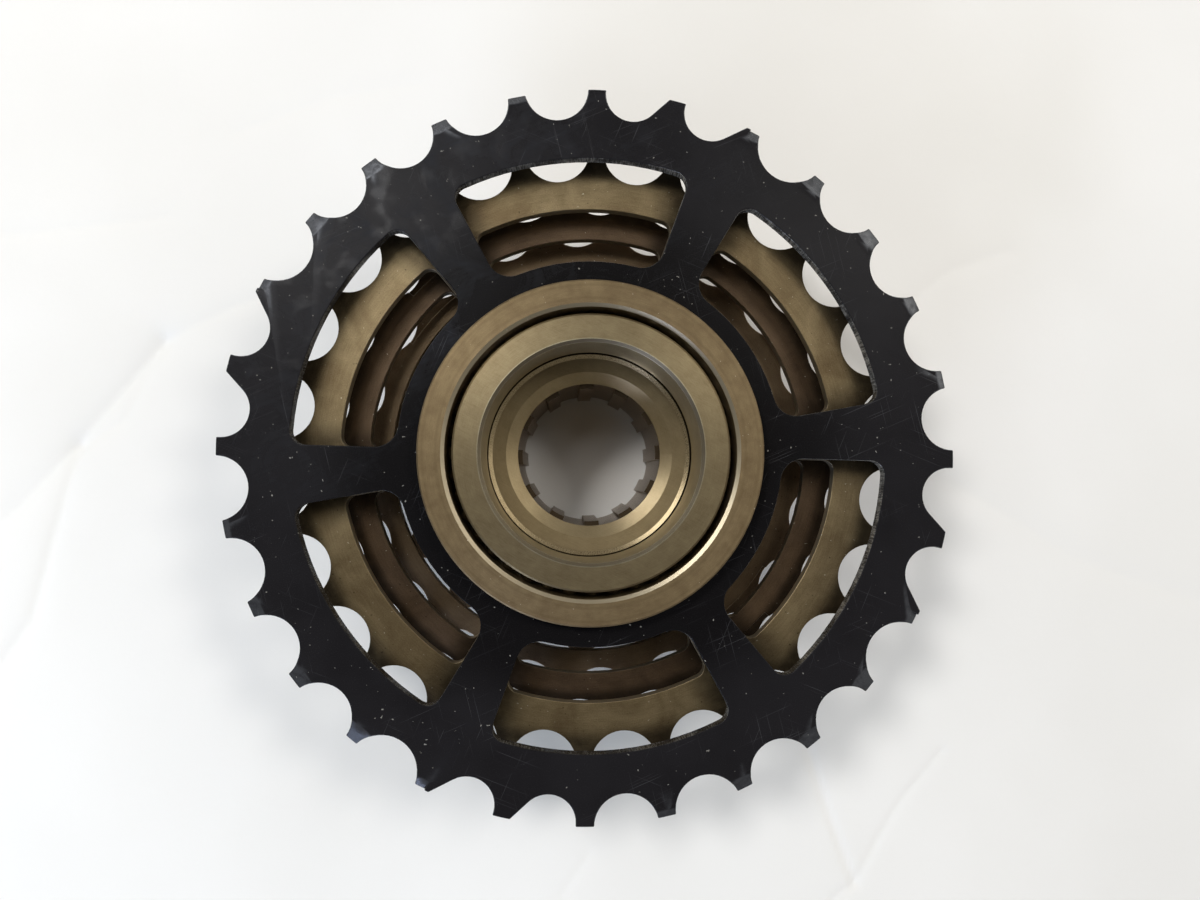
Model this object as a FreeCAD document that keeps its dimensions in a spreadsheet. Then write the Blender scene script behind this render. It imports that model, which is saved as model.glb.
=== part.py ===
import FreeCAD, Part
import math
import os
import Sketcher
import PartDesign

# Seven-speed screw-on freewheel, 14-16-18-20-22-24-28 teeth, for 1/2 in pitch chain.
# Frame: the wheel axis is Z. The inboard side (the side that meets the hub) is up, the
# outboard end stands on z = 0. Angles are counter-clockwise about +Z from +X.

V = FreeCAD.Vector
os.makedirs("parts", exist_ok=True)
doc = FreeCAD.newDocument("Freewheel")

# ---------------------------------------------------------------- driving dimensions
ROWS = [
    ("chain_pitch", 12.7, "chain pitch"),
    ("root_depth", 4.0, "tooth root below the pitch circle, half a chain roller"),
    ("slant_seat", 4.35, "seat radius of the 28T gaps with a slanted side"),
    ("tip_above_pitch", 0.73, "tooth tip above the pitch circle"),
    ("cog_thick", 1.85, "thickness of the six smaller sprockets"),
    ("bigcog_thick", 2.0, "thickness of the 28 tooth sprocket"),
    ("cog_step", 5.0, "axial distance between neighbouring sprockets"),
    ("big_level", 34.0, "height of the inboard face of the 28 tooth sprocket"),
    ("arm_turn", 34.2, "angle of the middle of the first window"),
    ("window_span", 48.3, "angle covered by one window"),
    ("big_window_out", 46.45, "outer radius of the 28T windows"),
    ("big_window_in", 30.1, "inner radius of the 28T windows"),
    ("cog_bore", 24.05, "bore of the sprockets that sit on the carrier"),
    ("lug_out_bore", 25.05, "radius of the lug slots in the sprockets"),
    ("carrier_out", 24.0, "outer radius of the carrier between its lugs"),
    ("lug_out", 25.0, "outer radius of the carrier lugs"),
    ("nose_out", 21.0, "outer radius of the carrier nose, for the two screwed sprockets"),
    ("nose_bore", 21.05, "bore of the two screwed sprockets"),
    ("flange_out", 26.52, "outer radius of the carrier's inboard flange"),
    ("flange_top", 37.0, "height of the carrier flange face"),
    ("flange_mouth", 22.5, "radius of the opening inside the flange"),
    ("ratchet_tip", 20.1, "tip radius of the inner ratchet teeth"),
    ("ratchet_root", 21.4, "root radius of the inner ratchet teeth"),
    ("ratchet_count", 24, "number of ratchet teeth"),
    ("ratchet_low", 16.4, "lower end of the ratchet teeth"),
    ("ratchet_high", 24.2, "upper end of the ratchet teeth"),
    ("core_top", 37.4, "height of the core's inboard face"),
    ("core_flange", 21.2, "radius of the core's inboard flange"),
    ("core_wall", 19.3, "radius of the core body"),
    ("core_waist", 17.6, "radius of the core below the pawls"),
    ("core_thread_out", 14.6, "radius of the core's outboard screw"),
    ("hub_minor", 16.83, "minor radius of the hub thread, 1.37 in x 24 per inch"),
    ("hub_major", 17.40, "major radius of the hub thread"),
    ("hub_pitch", 1.0583, "pitch of the hub thread"),
    ("undercut_rad", 17.7, "radius of the run-out groove under the hub thread"),
    ("undercut_high", 26.4, "top of the run-out groove"),
    ("undercut_low", 24.3, "bottom of the run-out groove"),
    ("floor_level", 24.5, "level of the flat floor under the hub thread"),
    ("spline_root", 11.95, "groove radius of the remover splines"),
    ("spline_tip", 11.2, "tip radius of the remover splines"),
    ("spline_count", 12, "number of remover splines"),
    ("spline_top", 22.9, "upper end of the remover splines"),
    ("ball_rad", 1.5875, "radius of a 1/8 in ball"),
    ("race_rad", 1.6, "radius of the ball races"),
    ("in_ball_circle", 20.9, "radius of the inboard ball circle"),
    ("in_ball_level", 32.4, "level of the inboard balls"),
    ("in_ball_count", 40, "number of inboard balls"),
    ("out_ball_circle", 17.9, "radius of the outboard ball circle"),
    ("out_ball_level", 6.4, "level of the outboard balls"),
    ("out_ball_count", 34, "number of outboard balls"),
    ("pawl_pivot", 17.9, "radius of the pawl pivots"),
    ("pawl_seat", 1.75, "radius of the socket a pawl turns in"),
    ("pawl_heel", 1.7, "radius of the pawl heel"),
    ("pawl_low", 17.0, "lower face of the pawls"),
    ("pawl_width", 6.0, "width of the pawls"),
    ("pawl_swing", 10.0, "swing of a pawl from lifted to engaged, in degrees"),
    ("spacer_in", 25.1, "bore of the spacers"),
    ("spacer_out", 27.0, "outer radius of the spacers"),
]
sheet = doc.addObject("Spreadsheet::Sheet", "Dims")
for i, (alias, value, note) in enumerate(ROWS, 1):
    sheet.set("A%d" % i, note)
    sheet.set("B%d" % i, repr(value))
    sheet.setAlias("B%d" % i, alias)
doc.recompute()
D = {alias: float(sheet.get(alias)) for alias, _, _ in ROWS}


# ---------------------------------------------------------------- helpers
def value_of(spec):
    """A number, or an expression in the sheet's aliases such as 'core_top - 0.3'."""
    if not isinstance(spec, str):
        return float(spec)
    total, sign = 0.0, 1.0
    for word in spec.split():
        if word in "+-":
            sign = 1.0 if word == "+" else -1.0
            continue
        total += sign * (D[word] if word in D else float(word))
    return total


def bound(spec):
    return " ".join(
        "Dims." + word if word in D else word for word in spec.split()
    )


def new_body(name):
    body = doc.addObject("PartDesign::Body", name)
    body.Label = name
    return body


def origin_part(body, role):
    return next(f for f in body.Origin.OriginFeatures if f.Role == role)


def new_sketch(body, name, role="XY_Plane", level=None, turn=0.0):
    sk = body.newObject("Sketcher::SketchObject", name)
    sk.AttachmentSupport = [(origin_part(body, role), "")]
    sk.MapMode = "FlatFace"
    z = value_of(level) if level is not None else 0.0
    axis = V(0, 1, 0) if role == "XZ_Plane" else V(0, 0, 1)
    sk.AttachmentOffset = FreeCAD.Placement(V(0, 0, z), FreeCAD.Rotation(axis, turn))
    if isinstance(level, str):
        sk.setExpression(".AttachmentOffset.Base.z", bound(level))
    return sk


def profile(sk, corners, arcs=None):
    """A closed outline. corners holds (x, y) numbers or expressions; arcs maps the index
    of a side to the (centre x, centre y, radius alias, +1 or -1) of its arc."""
    arcs = arcs or {}
    pts = [(value_of(x), value_of(y)) for x, y in corners]
    n = len(pts)
    ends = []
    for k in range(n):
        a, b = pts[k], pts[(k + 1) % n]
        if k in arcs:
            cx, cy, rad, way = arcs[k]
            cx, cy = value_of(cx), value_of(cy)
            r = value_of(rad)
            a0 = math.atan2(a[1] - cy, a[0] - cx)
            a1 = math.atan2(b[1] - cy, b[0] - cx)
            if way < 0:
                a0, a1 = a1, a0
            if a1 < a0:
                a1 += 2 * math.pi
            g = sk.addGeometry(
                Part.ArcOfCircle(Part.Circle(V(cx, cy, 0), V(0, 0, 1), r), a0, a1), False
            )
            ends.append((g, 1, 2) if way > 0 else (g, 2, 1))
        else:
            g = sk.addGeometry(
                Part.LineSegment(V(a[0], a[1], 0), V(b[0], b[1], 0)), False
            )
            ends.append((g, 1, 2))
    C = Sketcher.Constraint
    for k in range(n):
        before, here = ends[k - 1], ends[k]
        sk.addConstraint(C("Coincident", before[0], before[2], here[0], here[1]))
    for k in range(n):
        g, start, _ = ends[k]
        for kind, line, spec, number in (
            ("DistanceX", -2, corners[k][0], pts[k][0]),
            ("DistanceY", -1, corners[k][1], pts[k][1]),
        ):
            if abs(number) < 1e-9:
                sk.addConstraint(C("PointOnObject", g, start, line))
                continue
            i = sk.addConstraint(C(kind, -1, 1, g, start, number))
            if isinstance(spec, str):
                sk.setExpression("Constraints[%d]" % i, bound(spec))
    for k, (cx, cy, rad, way) in arcs.items():
        i = sk.addConstraint(C("Radius", ends[k][0], value_of(rad)))
        if isinstance(rad, str):
            sk.setExpression("Constraints[%d]" % i, bound(rad))


def ring(sk, radius):
    """A circle about the axis, its radius bound to the sheet."""
    g = sk.addGeometry(Part.Circle(V(0, 0, 0), V(0, 0, 1), value_of(radius)), False)
    sk.addConstraint(Sketcher.Constraint("Coincident", g, 3, -1, 1))
    i = sk.addConstraint(Sketcher.Constraint("Radius", g, value_of(radius)))
    if isinstance(radius, str):
        sk.setExpression("Constraints[%d]" % i, bound(radius))


def path(sk, segs):
    """Lines ('L', p, q) and arcs ('A', centre, radius, from, to in radians)."""
    for seg in segs:
        if seg[0] == "L":
            (ax, ay), (bx, by) = seg[1], seg[2]
            sk.addGeometry(Part.LineSegment(V(ax, ay, 0), V(bx, by, 0)), False)
        else:
            (cx, cy), r, a0, a1 = seg[1:]
            while a1 < a0:
                a1 += 2 * math.pi
            sk.addGeometry(
                Part.ArcOfCircle(Part.Circle(V(cx, cy, 0), V(0, 0, 1), r), a0, a1), False
            )


def polygon(sk, pts):
    path(sk, [("L", pts[k], pts[(k + 1) % len(pts)]) for k in range(len(pts))])


def turned(body, sk):
    rev = body.newObject("PartDesign::Revolution", "Turned")
    rev.Profile = (sk, [""])
    rev.ReferenceAxis = (sk, ["V_Axis"])
    rev.Angle = 360.0
    rev.Refine = False
    sk.Visibility = False
    return rev


def padded(body, sk, length):
    pad = body.newObject("PartDesign::Pad", "Raised")
    pad.Profile = (sk, [""])
    pad.Length = value_of(length)
    pad.Refine = False
    if isinstance(length, str):
        pad.setExpression("Length", bound(length))
    return pad


def pocketed(body, sk, length, both=False, up=False):
    """Cuts away from the sketch: downwards, upwards with up, or both ways."""
    cut = body.newObject("PartDesign::Pocket", "Cut")
    cut.Profile = (sk, [""])
    cut.Length = value_of(length)
    cut.Midplane = both
    cut.Reversed = up
    cut.Refine = False
    if isinstance(length, str):
        cut.setExpression("Length", bound(length))
    return cut


def around(body, features, count):
    pat = body.newObject("PartDesign::PolarPattern", "Around")
    pat.Originals = features
    pat.Axis = (origin_part(body, "Z_Axis"), [""])
    pat.Angle = 360.0
    pat.Occurrences = int(value_of(count))
    pat.Refine = False
    if isinstance(count, str):
        pat.setExpression("Occurrences", bound(count))
    body.Tip = pat
    return pat


def polar(r, deg):
    a = math.radians(deg)
    return (r * math.cos(a), r * math.sin(a))


def sector(r_in, r_out, a0, a1):
    """Outline of a ring sector, angles in degrees."""
    return [
        ("A", (0, 0), r_out, math.radians(a0), math.radians(a1)),
        ("L", polar(r_out, a1), polar(r_in, a1)),
        ("A", (0, 0), r_in, math.radians(a0), math.radians(a1)),
        ("L", polar(r_in, a0), polar(r_out, a0)),
    ]


def soft_sector(r_in, r_out, a0, a1, f_in, f_out):
    """A ring sector with radial sides and rounded corners."""
    m0, m1 = math.radians(a0), math.radians(a1)
    do = math.asin(f_out / (r_out - f_out))
    di = math.asin(f_in / (r_in + f_in))
    lo, li = (r_out - f_out) * math.cos(do), (r_in + f_in) * math.cos(di)
    at = lambda r, a: (r * math.cos(a), r * math.sin(a))
    segs = [("A", (0, 0), r_out, m0 + do, m1 - do)]
    segs.append(("A", at(r_out - f_out, m1 - do), f_out, m1 - do, m1 + math.pi / 2))
    segs.append(("L", at(lo, m1), at(li, m1)))
    segs.append(
        ("A", at(r_in + f_in, m1 - di), f_in, m1 + math.pi / 2, m1 - di + math.pi)
    )
    segs.append(("A", (0, 0), r_in, m0 + di, m1 - di))
    segs.append(
        ("A", at(r_in + f_in, m0 + di), f_in, m0 + di + math.pi, m0 + 1.5 * math.pi)
    )
    segs.append(("L", at(li, m0), at(lo, m0)))
    segs.append(("A", at(r_out - f_out, m0 + do), f_out, m0 - math.pi / 2, m0 + do))
    return segs


def outside(tip_r, left, right):
    """The part of a tooth gap that lies beyond the tips, from the angle left to right."""
    return [
        ("L", polar(tip_r, left), polar(tip_r + 2.0, left)),
        ("L", polar(tip_r + 2.0, left), polar(tip_r + 2.0, right)),
        ("L", polar(tip_r + 2.0, right), polar(tip_r, right)),
    ]


def bearing_of(c, p):
    return math.atan2(p[1] - c[1], p[0] - c[0])


def round_gap(tip_r, root_r, left, right):
    """The space a chain roller drops into: one arc from tip corner to tip corner that
    touches the root circle. left and right are angles in degrees."""
    half = math.radians(right - left) / 2.0
    x, y = tip_r * math.cos(half) - root_r, tip_r * math.sin(half)
    r = (x * x + y * y) / (2.0 * x)
    c = polar(root_r + r, (left + right) / 2.0)
    start, end = bearing_of(c, polar(tip_r, right)), bearing_of(c, polar(tip_r, left))
    if end < start:
        end += 2.0 * math.pi
    return outside(tip_r, left, right) + [("A", c, r, start, end)]


def slanted_gap(tip_r, root_r, left, middle):
    """A gap whose first side is a straight slant down from the tip corner at the angle
    left; the second side is the seat arc itself, run out to the tips."""
    r = D["slant_seat"]
    c = polar(root_r + r, middle)
    far_side = (tip_r**2 + (root_r + r) ** 2 - r * r) / (2.0 * tip_r * (root_r + r))
    right = middle + math.degrees(math.acos(far_side))
    p = polar(tip_r, left)
    off = math.acos(r / math.hypot(p[0] - c[0], p[1] - c[1]))
    low = math.radians(middle)
    touch = min(
        (bearing_of(c, p) + off, bearing_of(c, p) - off), key=lambda t: math.cos(t - low)
    )
    start = bearing_of(c, polar(tip_r, right))
    while touch < start:
        touch += 2.0 * math.pi
    t = (c[0] + r * math.cos(touch), c[1] + r * math.sin(touch))
    return outside(tip_r, left, right) + [("A", c, r, start, touch), ("L", t, p)]


def bore_with_slots(bore, slot, half_width, turn):
    """The bore of a sprocket with six slots for the carrier's lugs."""
    segs = []
    for k in range(6):
        mid = turn + 60.0 * k
        a0, a1 = mid - half_width, mid + half_width
        segs.append(("L", polar(bore, a0), polar(slot, a0)))
        segs.append(("A", (0, 0), slot, math.radians(a0), math.radians(a1)))
        segs.append(("L", polar(slot, a1), polar(bore, a1)))
        segs.append(
            ("A", (0, 0), bore, math.radians(a1), math.radians(a0 + 60.0))
        )
    return segs


LUG_TURN = 4.2  # the lugs stand behind the arms of the 28 tooth sprocket
LUG_HALF = 5.0

# ---------------------------------------------------------------- core (fixed to the hub)
core = new_body("inner_core")
sk = new_sketch(core, "core_profile", "XZ_Plane")
profile(
    sk,
    [
        ("hub_minor + 0.47", "core_top"),
        ("core_flange - 0.3", "core_top"),
        ("core_flange", "core_top - 0.3"),
        ("core_flange", D["in_ball_level"] + math.sqrt(D["race_rad"] ** 2 - 0.3**2)),
        ("core_wall", "in_ball_level"),
        ("core_wall", 16.3),
        ("core_wall - 0.3", 16.0),
        ("core_waist", 16.0),
        ("core_waist", 8.6),
        ("core_waist - 0.2", 8.4),
        (16.2, 8.4),
        (16.2, 7.5),
        ("core_thread_out", 7.5),
        ("core_thread_out", 0.4),
        ("core_thread_out - 0.4", 0.0),
        ("spline_root + 0.5", 0.0),
        ("spline_root", 0.5),
        ("spline_root", "floor_level - 1.1"),
        ("spline_root + 1.91", "floor_level"),
        (16.1, "floor_level"),
        (16.75, "floor_level + 0.35"),
        (16.75, "undercut_low"),
        ("undercut_rad", "undercut_low"),
        ("undercut_rad", "undercut_high"),
        ("hub_minor", "undercut_high"),
        ("hub_minor", "core_top - 0.47"),
    ],
    {3: ("in_ball_circle", "in_ball_level", "race_rad", 1)},
)
turned(core, sk)

# twelve splines for the remover tool
sk = new_sketch(core, "remover_splines", "XY_Plane", 0.9)
mid = 2.0
path(sk, sector(D["spline_tip"], D["spline_root"] + 0.4, mid - 6.0, mid + 6.0))
land = padded(core, sk, "spline_top - 0.9")
around(core, [land], "spline_count")

# two recesses for the pawls: a round socket for the heel, and the room the pawl swings in
PAWL_AT = (90.0, 270.0)


def pawl_frame(x, y, turn):
    """From the pawl's own frame (x outwards from its pivot, y counter-clockwise) to the
    row's XY."""
    a = math.radians(turn)
    x += D["pawl_pivot"]
    return (x * math.cos(a) - y * math.sin(a), x * math.sin(a) + y * math.cos(a))


sk = new_sketch(core, "pawl_sockets", "XY_Plane", "pawl_low + pawl_width + 0.1")
for turn in PAWL_AT:
    cx, cy = pawl_frame(0, 0, turn)
    sk.addGeometry(Part.Circle(V(cx, cy, 0), V(0, 0, 1), D["pawl_seat"]), False)
pocketed(core, sk, "pawl_width + 0.2")
sk = new_sketch(core, "pawl_recesses", "XY_Plane", "pawl_low + pawl_width + 0.1")
for turn in PAWL_AT:
    polygon(
        sk,
        [
            pawl_frame(x, y, turn)
            for x, y in ((-2.0, -8.75), (3.0, -8.75), (3.0, -1.0), (-2.0, -1.0))
        ],
    )
core.Tip = pocketed(core, sk, "pawl_width + 0.2")
doc.recompute()

# the hub thread: a right-hand 60 degree groove cut into the plain bore from the run-out
# groove to beyond the mouth
thread_tool = doc.addObject("Part::Feature", "thread_tool")
z_start = D["undercut_high"] - 0.75
z_end = D["core_top"] + 1.3
helix = Part.makeHelix(D["hub_pitch"], z_end - z_start, D["hub_minor"])
helix.translate(V(0, 0, z_start))
inner, half = 0.12, 0.44 * D["hub_pitch"]
flank = math.tan(math.radians(30))
wide = half + inner * flank
tip = max(0.05, half - (D["hub_major"] - D["hub_minor"]) * flank)
corner = [
    V(D["hub_minor"] - inner, 0, z_start - wide),
    V(D["hub_major"], 0, z_start - tip),
    V(D["hub_major"], 0, z_start + tip),
    V(D["hub_minor"] - inner, 0, z_start + wide),
]
sweep = Part.BRepOffsetAPI.MakePipeShell(Part.Wire(helix.Edges))
sweep.setFrenetMode(True)
sweep.add(Part.makePolygon(corner + [corner[0]]))
sweep.build()
sweep.makeSolid()
thread_tool.Shape = sweep.shape()
inner_body = doc.addObject("Part::Cut", "inner_body")
inner_body.Label = "inner_body"
inner_body.Base = core
inner_body.Tool = thread_tool
inner_body.Refine = False

# ---------------------------------------------------------------- outboard cone
cone = new_body("cone_lockring")
sk = new_sketch(cone, "cone_profile", "XZ_Plane")
cone_lip = D["out_ball_level"] - math.sqrt(D["race_rad"] ** 2 - 0.8**2)
profile(
    sk,
    [
        (14.65, 0.6),
        (18.3, 0.6),
        (18.7, 1.0),
        (18.7, cone_lip),
        ("out_ball_circle - race_rad", "out_ball_level"),
        ("out_ball_circle - race_rad", 7.0),
        (14.65, 7.0),
    ],
    {3: ("out_ball_circle", "out_ball_level", "race_rad", -1)},
)
turned(cone, sk)
# two blind holes for a pin spanner
sk = new_sketch(cone, "spanner_holes", "XY_Plane", 0.6)
for turn in (0.0, 180.0):
    cx, cy = polar(16.55, turn)
    sk.addGeometry(Part.Circle(V(cx, cy, 0), V(0, 0, 1), 1.3), False)
cone.Tip = pocketed(cone, sk, 2.6, up=True)

# ---------------------------------------------------------------- shims under the cone
shims = doc.addObject("Part::Feature", "adjusting_shims")
shims.Label = "adjusting_shims"
washer = []
for low, high in ((7.0, 7.2), (7.2, 7.5)):
    disc = Part.makeCylinder(16.1, high - low, V(0, 0, low))
    washer.append(disc.cut(Part.makeCylinder(14.7, 1.0, V(0, 0, low - 0.2))))
shims.Shape = Part.makeCompound(washer)


# ---------------------------------------------------------------- balls
def balls(name, circle, level, count):
    obj = doc.addObject("Part::Feature", name)
    obj.Label = name
    out = []
    for k in range(int(D[count])):
        x, y = polar(D[circle], 360.0 * k / D[count])
        ball = Part.makeSphere(D["ball_rad"])
        ball.translate(V(x, y, D[level]))
        out.append(ball)
    obj.Shape = Part.makeCompound(out)
    return obj


balls_in = balls("balls_inboard", "in_ball_circle", "in_ball_level", "in_ball_count")
balls_out = balls("balls_outboard", "out_ball_circle", "out_ball_level", "out_ball_count")

# ---------------------------------------------------------------- sprocket carrier
carrier = new_body("outer_shell")
sk = new_sketch(carrier, "carrier_profile", "XZ_Plane")
cup_high = D["in_ball_level"] - math.sqrt(D["race_rad"] ** 2 - 0.55**2)
cup_low = D["out_ball_level"] + math.sqrt(D["race_rad"] ** 2 - 0.55**2)
profile(
    sk,
    [
        ("flange_mouth + 0.42", "flange_top"),
        ("flange_out - 0.25", "flange_top"),
        ("flange_out", "flange_top - 0.25"),
        ("flange_out", "big_level"),
        ("carrier_out", "big_level"),
        ("carrier_out", 12.15),
        ("nose_out", 12.15),
        ("nose_out", 1.5),
        ("nose_out - 0.3", 1.2),
        ("out_ball_circle + race_rad", 1.2),
        ("out_ball_circle + race_rad", "out_ball_level"),
        (D["out_ball_circle"] + 0.55, cup_low),
        (D["out_ball_circle"] + 0.55, 15.6),
        ("ratchet_tip", 15.6),
        ("ratchet_tip", "ratchet_high"),
        (D["in_ball_circle"] + 0.55, "ratchet_high"),
        (D["in_ball_circle"] + 0.55, cup_high),
        ("flange_mouth", "in_ball_level"),
        ("flange_mouth", "flange_top - 1.5"),
        ("flange_mouth - 0.14", "flange_top - 1.3"),
        ("flange_mouth - 0.14", "flange_top - 0.29"),
    ],
    {
        10: ("out_ball_circle", "out_ball_level", "race_rad", 1),
        16: ("in_ball_circle", "in_ball_level", "race_rad", 1),
    },
)
turned(carrier, sk)
# six lugs that carry the loose sprockets round
sk = new_sketch(carrier, "lugs", "XY_Plane", 12.15)
path(
    sk,
    sector(D["carrier_out"] - 0.6, D["lug_out"], LUG_TURN - LUG_HALF, LUG_TURN + LUG_HALF),
)
lug = padded(carrier, sk, "big_level - 12.15")
around(carrier, [lug], 6)
# saw-shaped ratchet: the steep face drives a pawl, the ramp lifts it when coasting.
# The steep face lies on a circle about the pawl's pivot, so the drive load passes
# through the pivot.
sk = new_sketch(carrier, "ratchet_space", "XY_Plane", "ratchet_high + 0.3")
base = PAWL_AT[0]
polygon(
    sk,
    [
        polar(19.4, base - 24.75),
        polar(D["ratchet_tip"], base - 24.75),
        polar(D["ratchet_root"], base - 22.6),
        polar(D["ratchet_tip"], base - 11.2),
        polar(19.4, base - 11.2),
    ],
)
space = pocketed(carrier, sk, "ratchet_high + 0.3 - ratchet_low")
around(carrier, [space], "ratchet_count")


# ---------------------------------------------------------------- pawls and their springs
def pawl_outline(swing):
    """The pawl turned by swing degrees about its pivot, 0 being engaged."""
    a = math.radians(swing)
    heel = D["pawl_heel"]
    at = lambda x, y: (
        x * math.cos(a) - y * math.sin(a),
        x * math.sin(a) + y * math.cos(a),
    )
    d = heel / math.sqrt(2.0)
    return at(1.65, -8.2), at(1.7, -3.4), at(heel, 0.0), at(0.0, heel), at(-d, -d), at(
        0.12, -8.22
    )


def make_pawl(name, turn):
    body = new_body(name)
    s = new_sketch(body, name + "_outline", "XY_Plane", "pawl_low")
    tip_out, back, heel_a, heel_top, heel_b, tip_in = [
        pawl_frame(x, y, turn) for x, y in pawl_outline(-D["pawl_swing"])
    ]
    centre = pawl_frame(0, 0, turn)
    ang = lambda p: math.atan2(p[1] - centre[1], p[0] - centre[0])
    path(
        s,
        [
            ("L", tip_out, back),
            ("L", back, heel_a),
            ("A", centre, D["pawl_heel"], ang(heel_a), ang(heel_b)),
            ("L", heel_b, tip_in),
            ("L", tip_in, tip_out),
        ],
    )
    padded(body, s, "pawl_width")
    return body


pawl_a = make_pawl("pawl_a", PAWL_AT[0])
pawl_b = make_pawl("pawl_b", PAWL_AT[1])


def make_leaf(name, turn):
    """A folded leaf spring under a pawl, pressed nearly flat while the pawl is lifted."""
    body = new_body(name)
    s = new_sketch(body, name + "_outline", "XY_Plane", "pawl_low + 1.5")
    polygon(
        s,
        [
            pawl_frame(x, y, turn)
            for x, y in (
                (-1.95, -7.0),
                (-1.95, -2.2),
                (-1.77, -2.2),
                (-1.77, -6.75),
                (-1.60, -3.0),
                (-1.42, -3.0),
                (-1.52, -7.0),
            )
        ],
    )
    padded(body, s, 3.0)
    return body


leaf_a = make_leaf("pawl_spring_a", PAWL_AT[0])
leaf_b = make_leaf("pawl_spring_b", PAWL_AT[1])


# ---------------------------------------------------------------- sprockets
def pitch_radius(teeth):
    return D["chain_pitch"] / (2.0 * math.sin(math.pi / teeth))


def at_level(body, steps, thick):
    """Stands a sprocket body with its inboard face the given number of steps down."""
    body.Placement = FreeCAD.Placement(
        V(0, 0, D["big_level"] - steps * D["cog_step"] - D[thick]), FreeCAD.Rotation()
    )
    body.setExpression(
        ".Placement.Base.z",
        "Dims.big_level - %d * Dims.cog_step - Dims.%s" % (steps, thick),
    )


def plain_gaps(body, teeth, phase, tip_width=2.4):
    rp = pitch_radius(teeth)
    tip_r = rp + D["tip_above_pitch"]
    half = 180.0 / teeth - math.degrees(tip_width / 2.0 / tip_r)
    s = new_sketch(body, "tooth_gap")
    path(s, round_gap(tip_r, rp - D["root_depth"], phase - half, phase + half))
    cut = pocketed(body, s, "cog_thick + cog_thick + 2", both=True)
    around(body, [cut], teeth)


def windows(body, r_in, r_out, f_in, f_out, thick):
    s = new_sketch(body, "window")
    m, h = D["arm_turn"], D["window_span"] / 2.0
    path(s, soft_sector(r_in, r_out, m - h, m + h, f_in, f_out))
    cut = pocketed(body, s, "%s + %s + 2" % (thick, thick), both=True)
    around(body, [cut], 6)


def shift_ramp(body, teeth, r_in, a0, a1, count, depth=0.45):
    """A shallow recess in the inboard face that lets the chain climb between two teeth."""
    tip_r = pitch_radius(teeth) + 3.0
    s = new_sketch(body, "shift_ramp", "XY_Plane", "cog_thick")
    path(s, sector(r_in, tip_r, a0, a1))
    cut = pocketed(body, s, depth)
    around(body, [cut], count)


def disc_blank(body, teeth, thick, slots=True):
    s = new_sketch(body, "blank")
    tip_r = pitch_radius(teeth) + D["tip_above_pitch"]
    g = s.addGeometry(Part.Circle(V(0, 0, 0), V(0, 0, 1), tip_r), False)
    s.addConstraint(Sketcher.Constraint("Coincident", g, 3, -1, 1))
    i = s.addConstraint(Sketcher.Constraint("Radius", g, tip_r))
    s.setExpression(
        "Constraints[%d]" % i,
        "Dims.chain_pitch / (2 * sin(180 deg / %d)) + Dims.tip_above_pitch" % teeth,
    )
    if slots:
        path(
            s,
            bore_with_slots(D["cog_bore"], D["lug_out_bore"], LUG_HALF + 0.12, LUG_TURN),
        )
    else:
        ring(s, "nose_bore")
    return padded(body, s, thick)


# 28 teeth: the outline repeats every seven teeth. Most gaps are round; two have a slanted
# side, so that the chain climbs on and off cleanly, and five tips are bevelled.
big = new_body("sprocket_28t")
disc_blank(big, 28, "bigcog_thick")
ROUND_GAPS = [(13.2, 23.4), (26.0, 36.1), (38.9, 49.0), (51.1, 61.9), (90.4, 100.35)]
SLANTED_GAPS = [(64.3, 70.35), (77.4, 83.2)]
sk = new_sketch(big, "tooth_gaps")
root = pitch_radius(28) - D["root_depth"]
tip = pitch_radius(28) + D["tip_above_pitch"]
for left, right in ROUND_GAPS:
    path(sk, round_gap(tip, root, left, right))
for left, middle in SLANTED_GAPS:
    path(sk, slanted_gap(tip, root + 0.1, left, middle))
cut = pocketed(big, sk, "bigcog_thick + bigcog_thick + 2", both=True)
around(big, [cut], 4)
windows(big, D["big_window_in"], D["big_window_out"], 3.6, 2.2, "bigcog_thick")
bevels = []
TIP_BEVELS = [
    (11.75, 4.6, 56.3),
    (24.7, 5.0, 55.4),
    (37.5, 5.4, 55.0),
    (50.0, 5.6, 54.5),
    (62.3, 2.6, 55.9),
]
for n, (turn, width, start) in enumerate(TIP_BEVELS):
    sk = new_sketch(big, "tip_bevel_%d" % n, "XZ_Plane", None, turn)
    t = D["bigcog_thick"]
    low = t - 0.42 * (58.4 - start)
    polygon(sk, [(start, t + 0.2), (start, t), (58.4, low), (58.4, t + 0.2)])
    gr = big.newObject("PartDesign::Groove", "Bevel")
    gr.Profile = (sk, [""])
    gr.ReferenceAxis = (sk, ["V_Axis"])
    gr.Angle = width
    gr.Midplane = True
    gr.Refine = False
    bevels.append(gr)
around(big, bevels, 4)
at_level(big, 0, "bigcog_thick")

cog24 = new_body("sprocket_24t")
disc_blank(cog24, 24, "cog_thick")
plain_gaps(cog24, 24, 6.2)
windows(cog24, 28.6, 39.9, 2.0, 1.7, "cog_thick")
at_level(cog24, 1, "cog_thick")

cog22 = new_body("sprocket_22t")
disc_blank(cog22, 22, "cog_thick")
plain_gaps(cog22, 22, 22.3)
windows(cog22, 28.4, 36.35, 1.8, 1.6, "cog_thick")
shift_ramp(cog22, 22, 39.65, 121.0, 138.0, 2)
at_level(cog22, 2, "cog_thick")

cog20 = new_body("sprocket_20t")
disc_blank(cog20, 20, "cog_thick")
plain_gaps(cog20, 20, 2.8)
windows(cog20, 28.2, 33.6, 1.6, 1.4, "cog_thick")
shift_ramp(cog20, 20, 36.0, 130.0, 147.6, 2)
at_level(cog20, 3, "cog_thick")

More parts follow.
